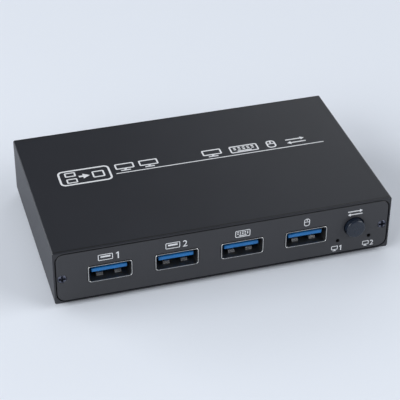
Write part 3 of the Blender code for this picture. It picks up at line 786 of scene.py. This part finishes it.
def build_insert(name, kind, place, depth, inward, slot):
    """The tongue, and the dark block behind it that closes the shell and stands on the board; behind a
    blue tongue the black block is painted shade in the back of the socket.
    """
    low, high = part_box(name + "_insert")
    shell_low, shell_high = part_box(name + "_shell")
    setback = low.y - shell_low.y if inward > 0 else shell_high.y - high.y
    far = high.y - shell_low.y if inward > 0 else shell_high.y - low.y
    width = high.x - low.x
    bm = bmesh.new()
    add_loft(bm, tongue_rings(kind, place, setback, width, depth - kind.back))
    tongue = make_piece(name + "_tongue", bm, FINISHES[slot], slot=slot)
    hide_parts(name + "_insert")

    filling = socket_outline(kind, -BLOCK_GAP)
    opening_z = place(0.0, 0.0, 0.0)[2]
    foot_up = (low.z + high.z) / 2 - opening_z
    foot = [(across, foot_up + up) for across, up in outline(width, high.z - low.z, TONGUE_EDGE)]
    sections = ((depth - kind.back, filling), (depth, filling), (depth, foot), (far, foot))
    bm = bmesh.new()
    add_loft(bm, [[place(across, distance, up) for across, up in points] for distance, points in sections])
    # Behind a blue tongue this black block is painted shade
    make_piece(name + "_block", bm, FINISHES["insert_black"], slot="insert_black")
    return setback


def build_contacts(name, kind, place, setback):
    """Gold contact strips on the tongue's underside, and on its top where the kind has them."""
    near = setback + kind.contact_width
    far = near + kind.contact_length
    half = kind.tongue_thickness / 2
    centre_up = kind.opening_height / 2 - kind.tongue_drop - half
    faces = [(centre_up - half - CONTACT_THICKNESS, centre_up - half)]
    if kind.both_sides:
        faces.append((centre_up + half, centre_up + half + CONTACT_THICKNESS))
    bm = bmesh.new()
    for index in range(kind.contact_count):
        centre = (index - (kind.contact_count - 1) / 2) * kind.contact_pitch
        for levels in faces:
            add_strip(bm, place, centre, kind.contact_width, (near, far), levels)
    make_piece(name + "_contacts", bm, GOLD)


def build_leaf_springs(name, kind, place):
    """Two sprung leaves that bow up from the shell's floor to grip a plug, in a darker copy of the nickel
    as painted shade.
    """
    floor = -kind.opening_height / 2
    bm = bmesh.new()
    for side in (-1, 1):
        upper = []
        for step in range(LEAF_STEPS + 1):
            share = step / LEAF_STEPS
            if share < LEAF_CREST:
                rise = LEAF_RISE * math.sin(share / LEAF_CREST * math.pi / 2)
            else:
                rise = LEAF_RISE * math.cos((share - LEAF_CREST) / (1 - LEAF_CREST) * math.pi / 2)
            upper.append((LEAF_START + share * LEAF_LENGTH, floor + LEAF_THICKNESS + rise))
        section = upper + [(distance, up - LEAF_THICKNESS) for distance, up in reversed(upper)]
        ends = (side * LEAF_SPREAD - LEAF_WIDTH / 2, side * LEAF_SPREAD + LEAF_WIDTH / 2)
        add_loft(bm, [[place(end, distance, up) for distance, up in section] for end in ends])
    make_piece(name + "_leaf_springs", bm, SHADED_LEAF_NICKEL, slot="shell_nickel")


def build_socket(name, kind, inward, slot):
    low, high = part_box(name + "_shell")
    mouth = low.y if inward > 0 else high.y
    x = (low.x + high.x) / 2
    z = high.z - kind.wall - kind.opening_height / 2
    depth = high.y - low.y

    def place(across, distance, up):
        return (x + across, mouth + inward * distance, z + up)

    build_shell(name, kind, place, depth)
    setback = build_insert(name, kind, place, depth, inward, slot)
    build_contacts(name, kind, place, setback)
    if kind is TYPE_A:
        build_leaf_springs(name, kind, place)


def build_sockets():
    for name, kind in FRONT_SOCKETS.items():
        build_socket(name, kind, 1, "insert_blue")
    for name, kind in REAR_SOCKETS.items():
        build_socket(name, kind, -1, "insert_black")


# Button, screws, feet, and light tubes that give the lamp pinholes painted shade

def build_button():
    """The round cap with a soft edge and a hardly crowned face, its flange and the plunger's socket."""
    low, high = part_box("button_cap")
    flange = (high.x - low.x) / 2
    radius = flange - BUTTON_FLANGE
    profile = [
        (low.y, radius * BUTTON_TOP_SHARE),
        (low.y + BUTTON_CROWN * BUTTON_SHOULDER_DROP, radius * BUTTON_SHOULDER_SHARE),
    ]
    for turn in quarter():
        along = low.y + BUTTON_CROWN + BUTTON_EDGE * (1 - math.cos(turn))
        profile.append((along, radius - BUTTON_EDGE + BUTTON_EDGE * math.sin(turn)))
    flange_front = high.y - BUTTON_FLANGE_THICKNESS
    profile += [(flange_front, radius), (flange_front, flange), (high.y, flange)]
    centre = middle("button_cap")
    bm = bmesh.new()
    add_turned(bm, profile, centre, "Y")
    slate = FINISHES["button_slate"]
    cap = make_piece("button_cap_smooth", bm, slate, body=BUTTON_BODY, slot="button_slate")
    half = PLUNGER_SIZE / 2 + FIT_GAP
    ends = (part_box("switch_plunger")[0].y - FIT_GAP, high.y + FIT_GAP)
    socket = bmesh.new()
    add_loft(socket, [upright_rectangle(centre, along, half, half) for along in ends])
    combine(cap, socket, "DIFFERENCE")
    smooth(cap.data)
    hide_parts("button_cap")


def build_screw(node, inward):
    """A countersunk screw with a cross recess that narrows as it goes in, its walls painted dark as
    painted shade.
    """
    low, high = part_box(node)
    face = low.y if inward > 0 else high.y
    end = high.y if inward > 0 else low.y
    centre = (low + high) / 2
    head = (high.x - low.x) / 2
    profile = [
        (face, head - SCREW_EDGE),
        (face + inward * SCREW_EDGE, head),
        (face + inward * (head - SCREW_SHANK_RADIUS + SCREW_EDGE), SCREW_SHANK_RADIUS),
        (end, SCREW_SHANK_RADIUS),
    ]
    bm = bmesh.new()
    add_turned(bm, profile, centre, "Y", SMALL_ROUND_STEPS)
    screw = make_piece(node + "_driven", bm, FINISHES["screw_black"], PAINTED_RECESS_SHADE, slot="screw_black")
    for upright in (False, True):
        rings = []
        for way in (-1, 1):
            share = 1 - way * SCREW_CROSS_TAPER
            arm = SCREW_CROSS_LENGTH / 2 * share
            aside = SCREW_CROSS_WIDTH / 2 * (1 + share) / 2
            across, up = (aside, arm) if upright else (arm, aside)
            rings.append(upright_rectangle(centre, face + inward * way * SCREW_CROSS_DEPTH, across, up))
        cutter = bmesh.new()
        add_loft(cutter, rings)
        combine(screw, cutter, "DIFFERENCE")
    # The recess faces take the painted shade
    for polygon in screw.data.polygons:
        off_axis = Vector((polygon.center.x - centre.x, polygon.center.z - centre.z)).length
        sunk = inward * (polygon.center.y - face)
        if off_axis < SCREW_CROSS_LENGTH / 2 and SCREW_EDGE / 2 < sunk < SCREW_SHADE_REACH:
            polygon.material_index = 1
    smooth(screw.data, SCREW_CRISP_ANGLE)
    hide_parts(node)


def build_foot(node):
    """A round rubber foot with soft edges."""
    low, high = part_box(node)
    radius = (high.x - low.x) / 2
    profile = []
    for turn in quarter():
        along = low.z + FOOT_EDGE * (1 - math.cos(turn))
        profile.append((along, radius - FOOT_EDGE + FOOT_EDGE * math.sin(turn)))
    profile.append((high.z, radius))
    bm = bmesh.new()
    add_turned(bm, profile, (low + high) / 2, "Z", SMALL_ROUND_STEPS)
    foot = make_piece(node + "_soft", bm, FINISHES["foot_rubber"], slot="foot_rubber")
    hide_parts(node)


def build_shading_light_tube(node):
    """The black tube that lines a lamp's pinhole, so the pinhole reads dark: painted shade."""
    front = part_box("front_panel")[0].y + TUBE_SETBACK
    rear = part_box(node)[0].y
    inner = TUBE_RADIUS - TUBE_WALL
    profile = [(front, TUBE_RADIUS), (rear, TUBE_RADIUS), (rear, inner), (front, inner)]
    bm = bmesh.new()
    add_turned(bm, profile, middle(node), "Y", SMALL_ROUND_STEPS, wrap=True)
    make_piece(node + "_tube", bm, FINISHES["insert_black"], slot="insert_black")


def build_spring():
    """The coiled return spring, wound along the length of its solid."""
    low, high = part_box("switch_spring")
    centre = (low + high) / 2
    radius = (high.x - low.x) / 2 - SPRING_WIRE
    length = high.y - low.y - 2 * SPRING_WIRE
    rise = length / (2 * math.pi * SPRING_TURNS)
    rings = []
    for step in range(SPRING_TURNS * SPRING_STEPS + 1):
        turn = 2 * math.pi * step / SPRING_STEPS
        outwards = Vector((math.cos(turn), 0.0, math.sin(turn)))
        spot = centre + radius * outwards
        spot.y = low.y + SPRING_WIRE + rise * turn
        along = Vector((-radius * math.sin(turn), rise, radius * math.cos(turn))).normalized()
        across = along.cross(outwards)
        ring = []
        for point in range(SPRING_WIRE_STEPS):
            angle = 2 * math.pi * point / SPRING_WIRE_STEPS
            ring.append(spot + SPRING_WIRE * (math.cos(angle) * outwards + math.sin(angle) * across))
        rings.append(ring)
    bm = bmesh.new()
    add_loft(bm, rings)
    spring = make_piece("switch_spring_coil", bm, FINISHES["spring_steel"], slot="spring_steel")
    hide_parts("switch_spring")
    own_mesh(spring)


def build_small_parts():
    build_button()
    build_spring()
    for side in ("left", "right"):
        build_screw(f"front_{side}_screw", 1)
        build_screw(f"rear_{side}_screw", -1)
        build_foot(f"front_{side}_foot")
        build_foot(f"rear_{side}_foot")
        build_shading_light_tube(f"{side}_lamp")


# Print

class Print:
    """White ink shapes on one flat face, gathered into one piece."""

    def __init__(self, name, place):
        self.name = name
        self.place = place
        self.bm = bmesh.new()

    def plate(self, points):
        add_loft(self.bm, [[self.place(u, v, lift) for u, v in points] for lift in (0.0, INK_THICKNESS)])

    def bar(self, u, v, size):
        half_width, half_height = size[0] / 2, size[1] / 2
        self.plate([
            (u - half_width, v - half_height), (u + half_width, v - half_height),
            (u + half_width, v + half_height), (u - half_width, v + half_height),
        ])

    def ring(self, u, v, size, radius, line):
        width, height = size
        outer = [(u + a, v + b) for a, b in outline(width, height, radius)]
        inner_corner = max(radius - line, line * LEAST_CORNER)
        inner = [(u + a, v + b) for a, b in outline(width - 2 * line, height - 2 * line, inner_corner)]
        levels = ((outer, 0.0), (outer, INK_THICKNESS), (inner, INK_THICKNESS), (inner, 0.0))
        rings = [[self.place(a, b, lift) for a, b in points] for points, lift in levels]
        add_loft(self.bm, rings, wrap=True)

    def one(self, u, v, size):
        """A plain 1 with a flag."""
        self.plate([(u + across * size, v + up * size) for across, up in ONE_CORNERS])

    def two(self, u, v, size):
        """A plain 2, centred at u and v."""
        text = bpy.data.curves.new("digit", "FONT")
        text.body = "2"
        text.size = size / TWO_HEIGHT
        text.extrude = INK_THICKNESS / 2
        carrier = bpy.data.objects.new("digit", text)
        bpy.context.scene.collection.objects.link(carrier)
        bpy.context.view_layer.update()
        ready = carrier.evaluated_get(bpy.context.evaluated_depsgraph_get())
        mesh = bpy.data.meshes.new_from_object(ready)
        bpy.data.objects.remove(carrier, do_unlink=True)
        shape = bmesh.new()
        shape.from_mesh(mesh)
        bmesh.ops.remove_doubles(shape, verts=shape.verts, dist=WELD_DISTANCE)
        low = [min(vert.co[axis] for vert in shape.verts) for axis in (0, 1)]
        high = [max(vert.co[axis] for vert in shape.verts) for axis in (0, 1)]
        for vert in shape.verts:
            across = u + vert.co.x - (low[0] + high[0]) / 2
            up = v + vert.co.y - (low[1] + high[1]) / 2
            vert.co = self.place(across, up, vert.co.z + INK_THICKNESS / 2)
        shape.to_mesh(mesh)
        shape.free()
        self.bm.from_mesh(mesh)
        bpy.data.meshes.remove(mesh)

    def number(self, digit, u, v, size):
        if digit == 1:
            self.one(u, v, size)
        else:
            self.two(u, v, size)

    def socket(self, u, v, size, line):
        """A socket's mouth with its tongue."""
        width, height = size
        self.ring(u, v, size, height * ICON_CORNER, line)
        tongue = (width * SOCKET_TONGUE[0], height * SOCKET_TONGUE[1])
        self.bar(u, v + height * SOCKET_TONGUE_RISE, tongue)

    def keyboard(self, u, v, size, line):
        """An outline, two rows of keys and a space bar."""
        width, height = size
        self.ring(u, v, size, height * ICON_CORNER, line)
        pitch = (width - 2 * KEY_MARGIN * line) / KEY_COLUMNS
        for rise in KEY_ROWS:
            for key in range(KEY_COLUMNS):
                across = u + (key - (KEY_COLUMNS - 1) / 2) * pitch
                self.bar(across, v + rise * height, (pitch * KEY[0], height * KEY[1]))
        self.bar(u, v + SPACE_BAR_RISE * height, (width * SPACE_BAR[0], height * SPACE_BAR[1]))

    def mouse(self, u, v, size, line):
        """A rounded outline, a dividing line and a wheel."""
        width, height = size
        self.ring(u, v, size, width * MOUSE_CORNER, line)
        self.bar(u, v + height * MOUSE_LINE_RISE, (width - 2 * line, line * MOUSE_LINE))
        self.bar(u, v + height * WHEEL_RISE, (line * WHEEL[0], height * WHEEL[1]))

    def arrow(self, u, v, size, way):
        """A plain arrow that points along +u or -u."""
        length, height = size
        tip = u + way * length / 2
        neck = tip - way * height * ARROW_HEAD
        tail = u - way * length / 2
        stem = height * ARROW_HALF_STEM
        self.plate([
            (tail, v - stem), (neck, v - stem), (neck, v - height / 2), (tip, v),
            (neck, v + height / 2), (neck, v + stem), (tail, v + stem),
        ])

    def screen(self, u, v, size, line):
        """An outline on a short stand."""
        width, height = size
        body = height * SCREEN_BODY
        self.ring(u, v + (height - body) / 2, (width, body), height * SCREEN_CORNER, line)
        self.bar(u, v - height / 2 + height * STAND_RISE, (line * STAND[0], height * STAND[1]))
        self.bar(u, v - height / 2 + line / 2, (width * STAND_FOOT, line))

    def done(self):
        make_piece(self.name, self.bm, INK)


def build_front_print():
    """Plain numbers and pictograms over the sockets, the button and the lamps."""
    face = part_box("front_panel")[0].y
    case_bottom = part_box("case_sleeve")[0].z
    label_z = case_bottom + FRONT_LABEL_RISE
    lamp_label_z = case_bottom + LAMP_LABEL_RISE

    def place(u, v, lift):
        return Vector((u, face - lift, v))

    ink = Print("front_print", place)
    for digit in (1, 2):
        x = middle(f"type_a_{digit}_insert").x
        ink.socket(x + FRONT_SOCKET_SHIFT, label_z, FRONT_SOCKET, FRONT_STROKE)
        ink.number(digit, x + FRONT_DIGIT_SHIFT, label_z, FRONT_DIGIT)
    for digit, lamp in ((1, "left_lamp"), (2, "right_lamp")):
        x = middle(lamp).x
        ink.screen(x + LAMP_SCREEN_SHIFT, lamp_label_z, LAMP_SCREEN, FRONT_STROKE)
        ink.number(digit, x + LAMP_DIGIT_SHIFT, lamp_label_z, LAMP_DIGIT)
    ink.keyboard(middle("type_a_3_insert").x, label_z, FRONT_KEYBOARD, FRONT_STROKE)
    ink.mouse(middle("type_a_4_insert").x, label_z, FRONT_MOUSE, FRONT_STROKE)
    button_x = middle("button_cap").x
    for way, rise in ((1, FRONT_ARROW[1]), (-1, 0.0)):
        ink.arrow(button_x, label_z + rise, FRONT_ARROW, way)
    ink.done()


def build_rear_print():
    """A number under a rule for each computer's pair of sockets, a screen, and a supply mark."""
    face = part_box("rear_panel")[1].y
    label_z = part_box("case_sleeve")[0].z + REAR_LABEL_RISE

    def place(u, v, lift):
        return Vector((-u, face + lift, v))

    ink = Print("rear_print", place)
    for digit in (1, 2):
        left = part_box(f"video_in_{digit}_shell")[1].x
        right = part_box(f"type_b_{digit}_shell")[0].x
        centre = -(left + right) / 2
        reach = (left - right) / 2
        arm = reach - REAR_DIGIT_ROOM
        ink.number(digit, centre, label_z, REAR_DIGIT)
        for side in (-1, 1):
            ink.bar(centre + side * (arm / 2 + REAR_DIGIT_ROOM), label_z, (arm, REAR_STROKE))
            tick = (REAR_STROKE, REAR_DIGIT / 2 + REAR_STROKE)
            ink.bar(centre + side * reach, label_z + REAR_DIGIT / 4, tick)
    ink.screen(-middle("video_out_insert").x, label_z, REAR_SCREEN, REAR_STROKE)
    power_u = -middle("power_insert").x
    ink.bar(power_u, label_z + SUPPLY_RISE, (SUPPLY_WIDTH, REAR_STROKE))
    for step in (-1, 0, 1):
        ink.bar(power_u + step * SUPPLY_PITCH, label_z - SUPPLY_RISE, (SUPPLY_DASH, REAR_STROKE))
    ink.done()


def build_top_print():
    """A plain frame, a long rule and small pictograms on the lid."""
    low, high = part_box("case_sleeve")
    centre_y = (low.y + high.y) / 2

    def place(u, v, lift):
        return Vector((u, centre_y + v, high.z + lift))

    ink = Print("top_print", place)
    ink.ring(LID_FRAME_U, LID_FRAME_V, LID_FRAME, LID_FRAME_CORNER, LID_FRAME_STROKE)
    source_u = LID_FRAME_U + LID_SOURCE_SHIFT
    for side in (1, -1):
        source_v = LID_FRAME_V + side * LID_SOURCE_RISE
        ink.ring(source_u, source_v, LID_SOURCE, LID_SOURCE_CORNER, LID_SOURCE_STROKE)
    ink.arrow(LID_FRAME_U + LID_FLOW_SHIFT, LID_FRAME_V, LID_FLOW, 1)
    target_u = LID_FRAME_U + LID_TARGET_SHIFT
    ink.ring(target_u, LID_FRAME_V, LID_TARGET, LID_TARGET_CORNER, LID_TARGET_STROKE)
    ink.bar(LID_RULE_U, LID_RULE_V, LID_RULE)
    for u in LID_SMALL_SCREENS_U:
        ink.screen(u, LID_ICON_V, LID_SMALL_SCREEN, LID_STROKE)
    ink.screen(LID_SCREEN_U, LID_ICON_V, LID_SCREEN, LID_STROKE)
    ink.keyboard(LID_KEYBOARD_U, LID_ICON_V, LID_KEYBOARD, LID_STROKE)
    ink.mouse(LID_MOUSE_U, LID_ICON_V, LID_MOUSE, LID_STROKE)
    for way in (1, -1):
        ink.arrow(LID_ARROWS_U, LID_ICON_V + way * LID_ARROWS_RISE, LID_ARROW, way)
    ink.done()


# Stage, lights and camera

def build_floor():
    bm = bmesh.new()
    bmesh.ops.create_grid(bm, x_segments=1, y_segments=1, size=FLOOR_REACH)
    mesh = make_mesh("floor", bm)
    mesh.materials.append(FLOOR_PAPER)
    floor = bpy.data.objects.new("floor", mesh)
    bpy.context.scene.collection.objects.link(floor)


def add_softbox(name, location, size, power):
    light = bpy.data.lights.new(name, "AREA")
    light.shape = "RECTANGLE"
    light.size = size[0]
    light.size_y = size[1]
    light.energy = power
    light.color = LIGHT_TINT
    lamp = bpy.data.objects.new(name, light)
    lamp.location = location
    lamp.rotation_euler = (Vector(LIGHT_AIM) - Vector(location)).to_track_quat("-Z", "Y").to_euler()
    bpy.context.scene.collection.objects.link(lamp)


def add_lights():
    world = bpy.data.worlds.new("studio")
    world.use_nodes = True
    background = world.node_tree.nodes["Background"]
    background.inputs["Color"].default_value = (*WORLD_TINT, 1.0)
    background.inputs["Strength"].default_value = WORLD_STRENGTH
    bpy.context.scene.world = world
    for name, (location, size, power) in SOFTBOXES.items():
        add_softbox(name, location, size, power)


def add_camera():
    azimuth, elevation, roll = (
        math.radians(value) for value in (CAMERA_AZIMUTH, CAMERA_ELEVATION, CAMERA_ROLL)
    )
    back = Vector((
        math.sin(azimuth) * math.cos(elevation),
        -math.cos(azimuth) * math.cos(elevation),
        math.sin(elevation),
    ))
    right = Vector((0, 0, 1)).cross(back).normalized()
    up = back.cross(right)
    rolled_right = right * math.cos(roll) + up * math.sin(roll)
    rolled_up = up * math.cos(roll) - right * math.sin(roll)
    aim = middle("case_sleeve") + AIM_RIGHT * rolled_right - AIM_DOWN * rolled_up
    data = bpy.data.cameras.new("camera")
    data.lens = CAMERA_LENS
    data.sensor_width = CAMERA_SENSOR
    camera = bpy.data.objects.new("camera", data)
    turn = Matrix((rolled_right, rolled_up, back)).transposed().to_4x4()
    camera.matrix_world = Matrix.Translation(aim + CAMERA_DISTANCE * back) @ turn
    bpy.context.scene.collection.objects.link(camera)
    bpy.context.scene.camera = camera


dress_solids()
build_sockets()
build_small_parts()
build_front_print()
build_rear_print()
build_top_print()
build_floor()
add_lights()
add_camera()
bpy.context.scene.view_settings.view_transform = "Standard"
